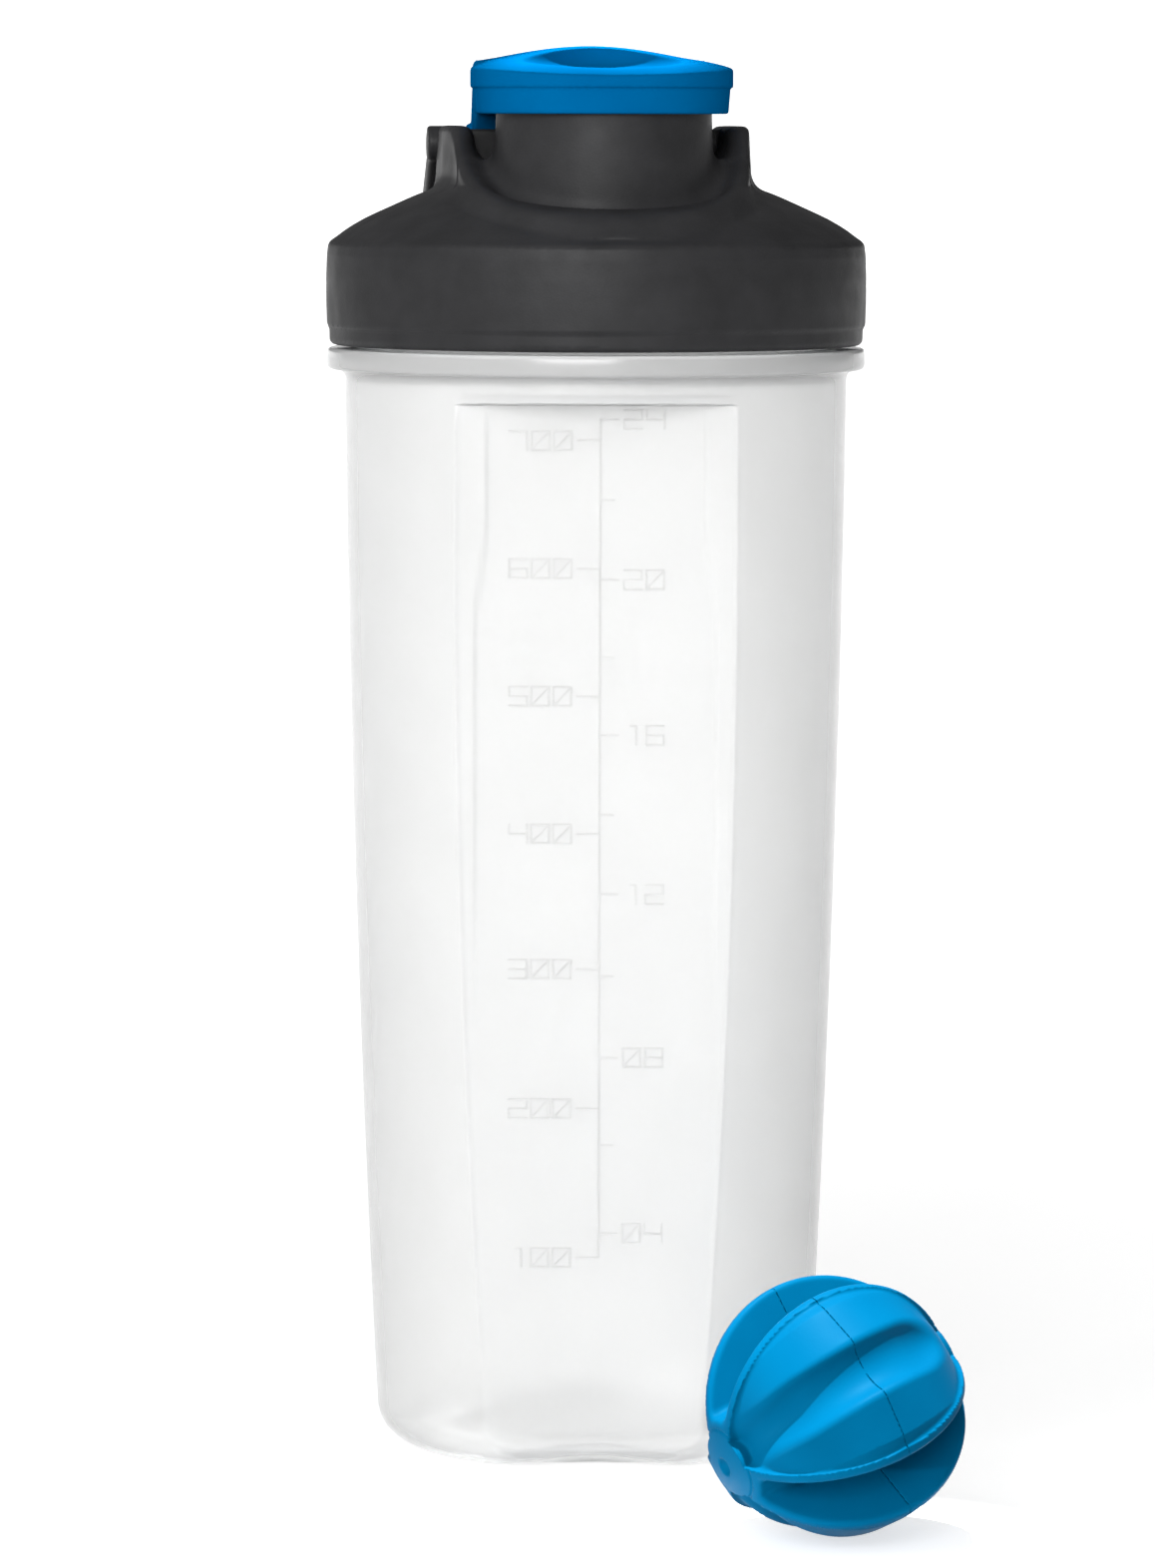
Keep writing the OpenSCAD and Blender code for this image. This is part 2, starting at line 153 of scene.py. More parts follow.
def surface(field, lo, hi, step):
    """Vertices, quads and normals of the zero level of field(x, y, z) between two corners, in mm."""
    lo, hi = np.array(lo, float), np.array(hi, float)
    values = sampled(field, lo, hi, step)
    # one vertex in each cell that the surface passes through, in the middle of where it cuts the cell's edges
    inside = values < 0
    corners = [(i, j, k) for i in (0, 1) for j in (0, 1) for k in (0, 1)]
    nx, ny, nz = (n - 1 for n in values.shape)
    count = sum(inside[i:i + nx, j:j + ny, k:k + nz].astype(np.int8) for i, j, k in corners)
    cell = np.argwhere((count > 0) & (count < 8))
    total, hits = np.zeros((len(cell), 3)), np.zeros(len(cell))
    for a in corners:
        for axis in range(3):
            if a[axis]:
                continue
            b = [c + (n == axis) for n, c in enumerate(a)]
            fa = values[tuple((cell + a).T)].astype(float)
            fb = values[tuple((cell + b).T)].astype(float)
            cut = (fa < 0) != (fb < 0)
            t = np.where(cut, fa / np.where(cut, fa - fb, 1.0), 0.0)
            point = np.array(a, float) + t[:, None] * (np.array(b) - np.array(a))
            total += np.where(cut[:, None], point, 0.0)
            hits += cut
    verts = lo + (cell + total / hits[:, None]) * step
    for _ in range(PULLS):
        d, g = gradient(field, verts, PULL_REACH)
        move = -d[:, None] * g / np.maximum((g * g).sum(1, keepdims=True), LEAST_SLOPE)
        length = np.linalg.norm(move, axis=1, keepdims=True)
        verts = verts + move * np.minimum(1.0, LONGEST_PULL * step / np.maximum(length, TINY))
    normals = unit(gradient(field, verts, NORMAL_REACH)[1])
    # one quad round each grid edge that the surface cuts
    number = np.full(values.shape, -1, np.int64)
    number[tuple(cell.T)] = np.arange(len(cell))
    quads = []
    for axis in range(3):
        u, v = (axis + 1) % 3, (axis + 2) % 3
        first = [slice(0, n) for n in values.shape]
        second = [slice(0, n) for n in values.shape]
        first[axis], second[axis] = slice(0, -1), slice(1, None)
        change = np.argwhere(inside[tuple(first)] != inside[tuple(second)])
        change = change[(change[:, u] > 0) & (change[:, v] > 0)]
        change = change[(change[:, u] < values.shape[u] - 1) & (change[:, v] < values.shape[v] - 1)]
        ring = []
        for du, dv in ((-1, -1), (0, -1), (0, 0), (-1, 0)):
            c = change.copy()
            c[:, u] += du
            c[:, v] += dv
            ring.append(number[tuple(c.T)])
        ring = np.stack(ring, 1)
        outward = inside[tuple(change.T)]
        quads.append(np.where(outward[:, None], ring, ring[:, ::-1]))
    return verts, np.concatenate(quads), normals


# ---------------------------------------------------------------- pieces
def about_z(degrees):
    """Rotation matrix about the vertical axis."""
    c, s = math.cos(math.radians(degrees)), math.sin(math.radians(degrees))
    return np.array([[c, -s, 0.0], [s, c, 0.0], [0.0, 0.0, 1.0]])


def mount(name, mesh, body, slot, cad_node, material):
    """Show a mesh as a piece that rides on a CAD body and, where one is named, hide the CAD node whose place it
    takes.
    """
    thing = bpy.data.objects.new(name, mesh)
    bpy.context.scene.collection.objects.link(thing)
    mesh.materials.append(material)
    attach(thing, body)
    if cad_node:
        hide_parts(cad_node)


def shade_smooth(mesh):
    mesh.polygons.foreach_set("use_smooth", np.ones(len(mesh.polygons), bool))


def piece(name, verts, quads, normals, body, slot, cad_node, material, turn=None):
    """A piece from vertices in mm, quads and shading normals, turned by a 3x3 matrix where one is given."""
    if turn is not None:
        verts, normals = verts @ turn.T, normals @ turn.T
    mesh = bpy.data.meshes.new(name)
    mesh.vertices.add(len(verts))
    mesh.vertices.foreach_set("co", (verts * MM).astype(np.float32).ravel())
    mesh.loops.add(quads.size)
    mesh.loops.foreach_set("vertex_index", quads.astype(np.int32).ravel())
    mesh.polygons.add(len(quads))
    mesh.polygons.foreach_set("loop_start", np.arange(0, quads.size, 4, dtype=np.int32))
    mesh.update(calc_edges=True)
    mesh.validate()
    shade_smooth(mesh)
    mesh.normals_split_custom_set_from_vertices(normals.astype(np.float32))
    mount(name, mesh, body, slot, cad_node, material)


# ---------------------------------------------------------------- materials
NOISE_LOW, NOISE_HIGH = 0.3, 0.7    # the range that most of a noise's values lie in


def shader(name):
    mat = bpy.data.materials.new(name)
    mat.use_nodes = True
    tree = mat.node_tree
    return mat, tree, tree.nodes["Principled BSDF"]


def node(tree, kind, **settings):
    made = tree.nodes.new(kind)
    for key, value in settings.items():
        setattr(made, key, value)
    return made


def noise(tree, scale, detail):
    """Noise in object space."""
    coords = node(tree, "ShaderNodeTexCoord")
    made = node(tree, "ShaderNodeTexNoise")
    made.inputs["Scale"].default_value = scale
    made.inputs["Detail"].default_value = detail
    tree.links.new(coords.outputs["Object"], made.inputs["Vector"])
    return made.outputs["Fac"]


def map_range(tree, value, start, end, low, high, **settings):
    """Carry a value from the range start to end over to the range low to high."""
    spread = node(tree, "ShaderNodeMapRange", **settings)
    for key, number in (("From Min", start), ("From Max", end), ("To Min", low), ("To Max", high)):
        spread.inputs[key].default_value = number
    tree.links.new(value, spread.inputs["Value"])
    return spread.outputs["Result"]


def colour_range(tree, bsdf, scale, low, high):
    """Base colour that wanders between two colours."""
    ramp = node(tree, "ShaderNodeValToRGB")
    for end, at, colour in zip(ramp.color_ramp.elements, (NOISE_LOW, NOISE_HIGH), (low, high)):
        end.position = at
        end.color = (*colour, 1)
    tree.links.new(noise(tree, scale, 4.0), ramp.inputs["Fac"])
    tree.links.new(ramp.outputs["Color"], bsdf.inputs["Base Color"])


def rough_range(tree, bsdf, scale, low, high):
    """Roughness that wanders between two values."""
    rough = map_range(tree, noise(tree, scale, 5.0), NOISE_LOW, NOISE_HIGH, low, high)
    tree.links.new(rough, bsdf.inputs["Roughness"])


def grain(tree, bsdf, scale, height):
    """Fine moulded texture as bump, height in metres."""
    bump = node(tree, "ShaderNodeBump")
    bump.inputs["Distance"].default_value = height
    bump.inputs["Strength"].default_value = 1.0
    tree.links.new(noise(tree, scale, 2.0), bump.inputs["Height"])
    tree.links.new(bump.outputs["Normal"], bsdf.inputs["Normal"])


def surfaced(name, colours, rough, bump=None, **sockets):
    """A material from (scale, low, high) for colour and roughness, (scale, height) for bump, and socket values."""
    mat, tree, bsdf = shader(name)
    colour_range(tree, bsdf, *colours)
    rough_range(tree, bsdf, *rough)
    if bump:
        grain(tree, bsdf, *bump)
    for key, value in sockets.items():
        bsdf.inputs[key.replace("_", " ")].default_value = value
    return mat


def frosted(name, clear, ior):
    """Milky polypropylene."""
    return surfaced(name, (60.0, (0.94, 0.94, 0.935), (0.965, 0.965, 0.96)), (90.0, 0.14, 0.20),
                    Transmission_Weight=clear, IOR=ior)


def soaked(mat, colour, density):
    """Let the wall itself take up light, so that it darkens where it is seen edge on."""
    tree = mat.node_tree
    soak = node(tree, "ShaderNodeVolumeAbsorption")
    soak.inputs["Color"].default_value = colour
    soak.inputs["Density"].default_value = density
    tree.links.new(soak.outputs["Volume"], tree.nodes["Material Output"].inputs["Volume"])
    return mat


def blue(name, low, high, rough, gloss):
    """Glossy moulded plastic whose reflections are tinted."""
    return surfaced(name, (90.0, low, high), (150.0, rough, rough + 0.1), (2200.0, 0.000015),
                    Specular_IOR_Level=gloss, Specular_Tint=(0.1, 0.7, 1.0, 1))


FROSTED = soaked(frosted("frosted_pp", 0.68, 1.42), (0.0, 0.06, 0.12, 1), 34.0)
SCALE = frosted("scale_pp", 0.85, 1.15)
CHARCOAL = surfaced("charcoal_pp", (140.0, (0.017, 0.017, 0.018), (0.023, 0.023, 0.0245)), (200.0, 0.42, 0.52),
                    (2600.0, 0.00002), Specular_IOR_Level=0.14)
SILICONE = surfaced("clear_silicone", (80.0, (0.60, 0.62, 0.64), (0.72, 0.74, 0.76)), (120.0, 0.40, 0.55),
                    (1500.0, 0.00001), Transmission_Weight=0.25)
STEEL = surfaced("pin_steel", (300.0, (0.50, 0.50, 0.51), (0.66, 0.66, 0.67)), (700.0, 0.22, 0.36), Metallic=1.0)
CAP_BLUE = blue("blue_cap_pp", (0.0, 0.080, 0.225), (0.0, 0.090, 0.245), 0.42, 0.0)
BALL_BLUE = blue("blue_ball_pp", (0.0, 0.061, 0.136), (0.0, 0.067, 0.147), 0.40, 0.02)

# ---------------------------------------------------------------- bottle body
SKIRT_GAP = 0.5
NECK_TOP = GASKET[0][2]
FLANGE_Z, FLANGE_R, FLANGE_T = LID[0][2] - SKIRT_GAP, BODY[1][0], 3.6
WALL, FLOOR_T = 1.4, 2.2
FOOT_ROUND, FLOOR_ROUND = 6.6, 5.2
SIDE_R, SIDE_DRAFT, SIDE_BULGE, SIDE_TOP = 36.3, 5.8, 4.2, 178.8
PUNT_R, PUNT_H = 22.0, 1.8      # the raised middle of the underside
NECK_R, NECK_WALL = 40.6, 2.2
NECK_BORE = NECK_R - NECK_WALL
# flat panels: distance from the axis at the bottom and at the ledge, the ledge's height, and the sunk field
PANEL_FOOT, PANEL_TOP, PANEL_Z = 31.9, 35.2, 177.0
PANEL_SINK, SINK_HALF, SINK_WIDER = 0.4, 18.0, 1.9
BEAD, BEAD_W = 0.28, 0.32       # along each upright edge of a panel
ARCH, ARCH_HALF = 2.3, 17.5     # under each panel
# neck thread: two starts, a height climbed in a full turn, and how far each ridge runs
STARTS, LEAD, SWEEP = (0.0, 180.0), 10.0, 240.0
NECK_THREAD_Z, NECK_THREAD_H = 188.4, 1.6


def side_r(z):
    t = z / FLANGE_Z
    return SIDE_R + SIDE_DRAFT * t + SIDE_BULGE * t * (1 - t)


def panel_d(z):
    return PANEL_FOOT + (PANEL_TOP - PANEL_FOOT) * z / PANEL_Z


def sunk_share(z):
    """The panel's inner field sinks in gradually from below and ends under the ledge."""
    return step01(70, 110, z) * (1 - step01(173.5, 175.8, z))


def arc_points(cx, cz, r, a0, a1, n):
    a = np.radians(np.linspace(a0, a1, n))
    return np.stack([cx + r * np.cos(a), cz + r * np.sin(a)], 1)


def level(radii, z):
    """Profile points at one height."""
    return np.array([[r, z] for r in radii])


def upright(r, z0, z1, n):
    """Profile points at one radius."""
    return np.stack([np.full(n, r), np.linspace(z0, z1, n)], 1)


def body_profile():
    """(radius, height) points from the middle of the underside, up the outside and down the inside."""
    foot_r = side_r(FOOT_ROUND) - FOOT_ROUND
    floor_z = FLOOR_T + FLOOR_ROUND
    floor_r = side_r(floor_z) - WALL - FLOOR_ROUND
    wall_z = np.concatenate([np.linspace(8, 170, 54), np.linspace(171, 175.6, 5), np.linspace(176.2, 178.2, 16),
                             np.linspace(178.5, 178.9, 2)])
    inside_z = np.concatenate([np.linspace(FLANGE_Z - 3.5, 179.8, 4), np.linspace(179.4, 177.4, 14),
                               np.linspace(176.5, 173.5, 4), np.linspace(172, floor_z, 40)])
    inside_r = side_r(inside_z) - WALL
    inside_r[:1] = NECK_BORE + 0.6
    return np.concatenate([
        # the underside: raised middle, ring foot and rounded corner
        level([0.0], PUNT_H),
        level(np.linspace(3, PUNT_R - 1, 7), PUNT_H),
        arc_points(PUNT_R - 1.2, PUNT_H - 1.2, 1.2, 80, 20, 4),
        arc_points(PUNT_R + 1.6, 0.7, 0.7, 200, 265, 4),
        level(np.linspace(PUNT_R + 2.2, foot_r, 5), 0.0),
        arc_points(foot_r, FOOT_ROUND, FOOT_ROUND, -86, 0, 14),
        # the outside: wall, flange, neck and rim
        np.stack([side_r(wall_z), wall_z], 1),
        arc_points(side_r(SIDE_TOP) + 1.9, 179.6, 1.9, 180, 110, 6),
        arc_points(FLANGE_R - 0.8, FLANGE_Z - FLANGE_T + 0.8, 0.8, -80, 0, 5),
        arc_points(FLANGE_R - 0.7, FLANGE_Z - 0.7, 0.7, 0, 90, 5),
        arc_points(NECK_R + 0.7, FLANGE_Z + 0.7, 0.7, 270, 180, 4),
        upright(NECK_R, FLANGE_Z + 1.1, NECK_TOP - 1.0, 34),
        arc_points(NECK_R - 0.6, NECK_TOP - 0.6, 0.6, 15, 90, 4),
        # the inside: rim, neck, wall and floor
        arc_points(NECK_BORE + 0.6, NECK_TOP - 0.6, 0.6, 90, 180, 4),
        upright(NECK_BORE, NECK_TOP - 1.4, FLANGE_Z + 0.5, 6),
        np.stack([inside_r, inside_z], 1),
        arc_points(floor_r, floor_z, FLOOR_ROUND, -4, -90, 12),
        level(np.linspace(floor_r - 1, PUNT_R + 2.4, 3), FLOOR_T),
        np.array([[PUNT_R + 1.7, FLOOR_T + 0.3], [PUNT_R + 0.3, FLOOR_T + PUNT_H - 0.3]]),
        level(np.linspace(PUNT_R - 0.8, 3, 8), FLOOR_T + PUNT_H),
        level([0.0], FLOOR_T + PUNT_H),
    ])


def body_columns(z):
    """Angles from the front for every column, at each height: the panel's edges always fall on columns."""
    z = np.clip(z, 0, PANEL_Z)
    edge = np.arccos(np.clip(panel_d(z) / side_r(z), -1, 1))
    face = np.concatenate([np.linspace(0, 0.7, 20), np.linspace(0.715, 0.94, 26), np.linspace(0.95, 1.0, 7)])
    side = np.concatenate([np.linspace(0.008, 0.06, 5), np.linspace(0.1, 1.0, 20)])
    quarter = np.concatenate([face[None, :] * edge, edge + side[None, :] * (np.pi / 2 - edge)], 1)
    front_to_back = np.concatenate([quarter, np.pi - quarter[:, -2::-1]], 1)
    return np.concatenate([front_to_back, 2 * np.pi - front_to_back[:, -2:0:-1]], 1)


def body_points():
    """The body's surface in mm as rows of points, one row for each point of the profile."""
    profile = body_profile()
    r, z = profile[:, :1].copy(), profile[:, 1:].copy()
    rim = int(np.argmax(profile[:, 1] > NECK_TOP - 0.001))
    inner = (np.arange(len(profile)) > rim + 3)[:, None]
    phi = body_columns(z)
    front = np.abs(np.cos(phi)) + 1e-6
    gap = np.where(inner, WALL, 0.0)
    # the panel plane, ending in a ledge at its top
    ledge = step01(PANEL_Z - 0.35, PANEL_Z + 0.45, z - gap)
    plane = panel_d(z) - gap + 12.0 * ledge
    radius = np.broadcast_to(r, phi.shape)
    on_wall = (z < FLANGE_Z - 4) & (r > 20)
    on_panel = on_wall & (z < PANEL_Z)
    radius = np.where(on_wall, smin(radius, plane / front, 0.3), radius)
    # a slightly sunk field on each panel, its border soft
    in_panel = np.where(radius * front < panel_d(z) - gap + 0.4, 1.0, 0.0)
    half_w = SINK_HALF + SINK_WIDER * step01(156, 142, z)
    x = radius * np.sin(phi)
    sunk = PANEL_SINK * (1 - step01(half_w - 0.3, half_w + 0.3, np.abs(x))) * sunk_share(z)
    radius = np.where(on_panel, radius - sunk * in_panel, radius)
    # a fine bead along the panel's upright edges
    edge = np.arccos(np.clip(panel_d(np.clip(z, 0, PANEL_Z)) / side_r(z), -1, 1))
    off = (np.arccos(np.clip(front, -1, 1)) - edge) * side_r(z)
    bead = BEAD * np.exp(-(off / BEAD_W) ** 2) * step01(12, 30, z) * (1 - step01(PANEL_Z - 2.0, PANEL_Z - 0.5, z))
    radius = np.where(on_panel & ~inner, radius + bead, radius)
    # helical ridges on the neck
    on_neck = ~inner & (z > FLANGE_Z + 1.0) & (r > NECK_R - 0.3)
    for start in STARTS:
        angle = (np.degrees(phi - math.pi / 2) - start) % 360.0
        ridge_z = NECK_THREAD_Z + LEAD * angle / 360.0
        ends = step01(0, 14, angle) * (1 - step01(SWEEP - 14, SWEEP, angle))
        height = NECK_THREAD_H * ends * (1 - step01(0.55, 1.1, np.abs(z - ridge_z)))
        radius = np.where(on_neck, radius + height, radius)
    x, y = radius * np.sin(phi), -radius * np.cos(phi)
    # the foot arches up under each panel
    lift = ARCH * (0.5 + 0.5 * np.cos(np.pi * np.clip(np.abs(x) / ARCH_HALF, 0, 1)))
    lift = lift * step01(24.5, 30.5, np.abs(y)) * (1 - step01(3.0, 14.0, z))
    return np.stack([x, y, np.broadcast_to(z, phi.shape) + lift], -1)


def make_body():
    verts = body_points()
    n, cols = verts.shape[0] - 2, verts.shape[1]
    # the first and the last row are single points in the middle of the floor
    points = np.concatenate([verts[1:-1].reshape(-1, 3), verts[0].mean(0)[None], verts[-1].mean(0)[None]])
    i, j = np.meshgrid(np.arange(n - 1), np.arange(cols), indexing="ij")
    k = (j + 1) % cols
    quads = np.stack([i * cols + j, i * cols + k, (i + 1) * cols + k, (i + 1) * cols + j], -1).reshape(-1, 4)
    faces = [tuple(q) for q in quads.tolist()]
    first, last = len(points) - 2, len(points) - 1
    for j in range(cols):
        k = (j + 1) % cols
        faces.append((first, k, j))
        faces.append((last, (n - 1) * cols + j, (n - 1) * cols + k))
    mesh = bpy.data.meshes.new("bottle_shell")
    mesh.from_pydata((points * MM).tolist(), [], faces)
    mesh.validate()
    shade_smooth(mesh)
    mount("bottle_shell", mesh, "bottle", "frosted_body", "bottle_body", FROSTED)


make_body()

# ---------------------------------------------------------------- volume scale
# Heights of the marks, measured up the panel. The line and the ticks stand either side of the middle.
ML_MARKS = {100: 35.7, 200: 60.6, 300: 83.8, 400: 106.2, 500: 128.9, 600: 149.9, 700: 170.9}
OUNCE_MARKS = {4: 39.8, 8: 69.1, 12: 96.2, 16: 122.5, 20: 148.1, 24: 174.4}
LINE_X, ML_TICK_X, OUNCE_TICK_X, HALF_TICK_X = 0.67, -3.0, 3.6, 2.9
ML_TEXT_X, OUNCE_TEXT_X = -14.2, 4.6
DIGIT_W, DIGIT_H, DIGIT_STEP = 2.9, 3.1, 3.65
STROKE, RELIEF, ROOT = 0.2, 0.16, 0.12      # half a stroke's width, its height and its depth in the wall
SCALE_STEP = 0.16
SEGMENTS = {
    "0": "abcdefs", "1": "ij", "2": "abged", "3": "abgcd", "4": "fgbc", "5": "afgcd", "6": "afgcde", "7": "abc",
    "8": "abcdefg",
}
SEGMENT_ENDS = {
    "a": (0, 1, 1, 1), "b": (1, 1, 1, 0.5), "c": (1, 0.5, 1, 0), "d": (0, 0, 1, 0), "e": (0, 0, 0, 0.5),
    "f": (0, 0.5, 0, 1), "g": (0, 0.5, 1, 0.5), "s": (0, 0, 1, 1), "i": (0.72, 1, 0.72, 0),
    "j": (0.4, 1, 0.72, 1),
}


def word(text, x, s):
    """Line segments of plain stroke digits, from their left edge and their middle height."""
    lines = []
    for n, mark in enumerate(text):
        left = x + n * DIGIT_STEP
        for seg in SEGMENTS[mark]:
            x0, s0, x1, s1 = SEGMENT_ENDS[seg]
            lines.append((left + x0 * DIGIT_W, s + (s0 - 0.5) * DIGIT_H, left + x1 * DIGIT_W,
                          s + (s1 - 0.5) * DIGIT_H))
    return lines


def strokes():
    """Line segments of the scale in the panel's plane: x0, s0, x1, s1."""
    lines = [(LINE_X, ML_MARKS[100], LINE_X, OUNCE_MARKS[24])]
    for ml, s in ML_MARKS.items():
        lines.append((ML_TICK_X, s, LINE_X, s))
        lines += word(str(ml), ML_TEXT_X, s)
    for ounces, s in OUNCE_MARKS.items():
        lines.append((LINE_X, s, OUNCE_TICK_X, s))
        lines += word(f"{ounces:02d}", OUNCE_TEXT_X, s)
        if ounces > 4:
            half = (s + OUNCE_MARKS[ounces - 4]) / 2
            lines.append((LINE_X, half, HALF_TICK_X, half))
    return lines


STROKES = strokes()


def scale_field(x, d, s):
    """The raised strokes; x runs along the panel, d outwards and s up the panel."""
    best = np.full(x.shape, FAR_OFF, np.float32)
    for x0, s0, x1, s1 in STROKES:
        ex, es = x1 - x0, s1 - s0
        t = np.clip(((x - x0) * ex + (s - s0) * es) / (ex * ex + es * es), 0, 1)
        best = np.minimum(best, (x - x0 - ex * t) ** 2 + (s - s0 - es * t) ** 2)
    return smax(np.sqrt(best) - STROKE, np.maximum(d - RELIEF, -ROOT - d), 0.1)


def make_scale():
    verts, quads, normals = surface(scale_field, (-15.5, -0.6, 32), (13, 0.6, 178), SCALE_STEP)
    tilt = math.atan((PANEL_TOP - PANEL_FOOT) / PANEL_Z)
    c, s = math.cos(tilt), math.sin(tilt)

    def place(v, shift):
        x, d, up = v.T
        return np.stack([x, -d * c - up * s - shift, -d * s + up * c], 1)

    sunk = PANEL_SINK * sunk_share(verts[:, 2])
    # the placing mirrors the strokes, so the quads are turned round
    piece("volume_scale", place(verts, PANEL_FOOT - sunk), quads[:, ::-1], place(normals, 0.0), "bottle",
          "frosted_body", None, SCALE)


make_scale()

# ---------------------------------------------------------------- lid
LID_TURN = about_z(5)       # the lid sits turned a little on the bottle
SPOUT_Y = round((LID_TURN.T @ (SEAL[0] + SEAL[1]))[1] / 2, 1)
HINGE_Y = round((LID_TURN.T @ (PIN[0] + PIN[1]))[1] / 2, 1)
HINGE_Z = round((PIN[0] + PIN[1])[2] / 2, 1)
PIN_HOLE_R, LUG_R = 1.55, 3.2
SKIRT_Z, CEILING_Z = LID[0][2], GASKET[1][2]
SPOUT_R, SPOUT_Z, SPOUT_WALL, SPOUT_FLARE = 17.9, LID[1][2], 2.4, 0.35
EAR_HALF, EAR_IN, EAR_FRONT, EAR_DRAFT = 25.9, 20.9, 24.0, 0.06
COLLAR_R, COLLAR_DRAFT = 24.2, 0.67
# the moat round the spout: its radius, and its floor that rises from front to back
WELL_R, WELL_Z, DECK_Z, WELL_FRONT, WELL_BACK = 22.2, 205.4, 215.3, -34.5, -12.5
WEB_HALF, WEB_TOP, WEB_FRONT, WEB_BACK = 22.5, 221.4, 3.5, 7.4
BORE_R, THREAD_R, THREAD_Z, THREAD_LIFT = 42.9, 43.2, 190.9, 1.75
LID_STEP = 0.61

# (height, radius) of the skirt and shoulder
SKIRT_CURVE = smooth_curve([
    (184.0, 44.1), (185.55, 44.15), (186.1, 44.7), (188.35, 44.75), (188.75, 45.15), (192.5, 45.26), (197.0, 45.28),
    (200.5, 45.16), (202.2, 44.95), (202.85, 44.5), (203.4, 43.65), (204.5, 42.2), (205.35, 40.9), (206.5, 38.9),
    (207.45, 36.9), (208.4, 34.8), (209.3, 32.8), (210.15, 30.9), (210.95, 28.9), (212.5, 24.0), (232.0, -43.0),
], 0.35)
# (distance back, height) of the collar's and the ears' top
EAR_CURVE = smooth_curve([
    (-46, 205.6), (-42, 207.1), (-38.6, 208.2), (-34, 209.1), (-30, 210.0), (-25, 211.5), (-21, 212.8),
    (-17, 214.6), (-14, 216.4), (-11.5, 218.5), (-9, 220.6), (-7.2, 221.7), (-5, 222.0), (18.4, 222.0),
    (20.0, 221.0), (20.9, 219.5), (21.2, 218), (21.6, 190),
], 0.8)


def from_hinge(y, z):
    return np.hypot(y - HINGE_Y, z - HINGE_Z)


def helix(x, y, z, radius, z0, lift):
    """The lid's thread: round ridges that climb about the axis."""
    r = np.hypot(x, y)
    best = np.full(r.shape, FAR_OFF, np.float32)
    for start in STARTS:
        angle = (np.degrees(np.arctan2(y, x)) - start) % 360.0
        ridge_z = z0 + LEAD * np.minimum(angle, SWEEP) / 360.0
        past = np.maximum(angle - SWEEP, 0.0)
        past = np.minimum(past, np.maximum(360.0 - angle, 0.0) + 1e-3) * radius * math.pi / 180.0
        best = np.minimum(best, np.sqrt((r - radius) ** 2 + (z - ridge_z) ** 2 + past ** 2) - lift)
    return best


def lid_field(x, y, z):
    """The lid in its own frame, before it is turned."""
    r, rs, ax = np.hypot(x, y), np.hypot(x, y - SPOUT_Y), np.abs(x)
    shell = np.maximum(below_curve(z, r, SKIRT_CURVE), SKIRT_Z - z)
    # collar and ears
    wide = EAR_FRONT + (EAR_HALF - EAR_FRONT + EAR_DRAFT * (216.0 - z)) * step01(-17, 1, y)
    drafted = (rs - COLLAR_R - COLLAR_DRAFT * np.maximum(212.2 - z, 0)) * 0.83
    plan = smin(drafted, np.maximum(ax - wide, -13.5 - y), 1.0)
    collar = smax(smax(plan, below_curve(y, z, EAR_CURVE), 1.3), 203.9 - z, 0.3)
    form = smin(shell, collar, 0.3 + 2.1 * step01(-24, -12, y))
    # the moat, open to the back between the ears
    slope = (DECK_Z - WELL_Z) / (WELL_BACK - WELL_FRONT)
    floor = np.clip(WELL_Z + slope * (y - WELL_FRONT), WELL_Z, DECK_Z)
    well = smin(rs - WELL_R, np.maximum(ax - EAR_IN, -12 - y), 1.2)
    well = smax(well, (floor - z) * 0.92, 2.0 + 3.5 * step01(-30, -16, y) * step01(8, 0, y))
    form = smax(form, -well, 1.0 + 1.2 * step01(-22, -10, y))
    # a web between the ears, behind the spout
    web = smax(np.maximum(ax - WEB_HALF, z - WEB_TOP), np.maximum(WEB_FRONT - y, y - WEB_BACK), 0.6)
    form = smin(form, np.maximum(web, 205 - z), 0.5)
    # spout with a flared root
    flared = SPOUT_R + SPOUT_FLARE * step01(225.0, 212.0, z)
    spout = smax(rs - flared, np.maximum(z - SPOUT_Z, 204 - z), 0.7)
    form = smin(form, spout, 3.2)
    # room for the loop's hubs outside each ear
    notch = np.maximum(23.1 - ax, np.maximum(HINGE_Y - 3.6 - y, 211.8 - z))
    form = smax(form, -notch, 0.6)
    # insides: bore and ceiling, the spout's channel, a pocket under the deck, and the pin's hole
    bore = np.maximum(r - BORE_R, z - CEILING_Z)
    core = np.maximum(r - 38.0, z - 203.2)
    form = smax(form, -smin(bore, core, 0.4), 0.5)
    form = smax(form, -np.maximum(rs - (SPOUT_R - SPOUT_WALL), 190 - z), 0.8)
    pocket = np.maximum(np.hypot(x, y - 8) - 24, z - 209.2)
    form = smax(form, -smax(pocket, SPOUT_R + 0.4 - rs, 0.5), 0.5)
    form = smax(form, -(from_hinge(y, z) - PIN_HOLE_R), 0.3)
    thread = np.maximum(helix(x, y, z, THREAD_R, THREAD_Z, THREAD_LIFT), r - 44.0)
    return smin(form, thread, 0.5)


piece("lid_moulding", *surface(lid_field, (-46.4, -46.4, 184.6), (46.4, 46.4, 229.4), LID_STEP),
      "lid", "charcoal_lid", "lid_shell", CHARCOAL, LID_TURN)

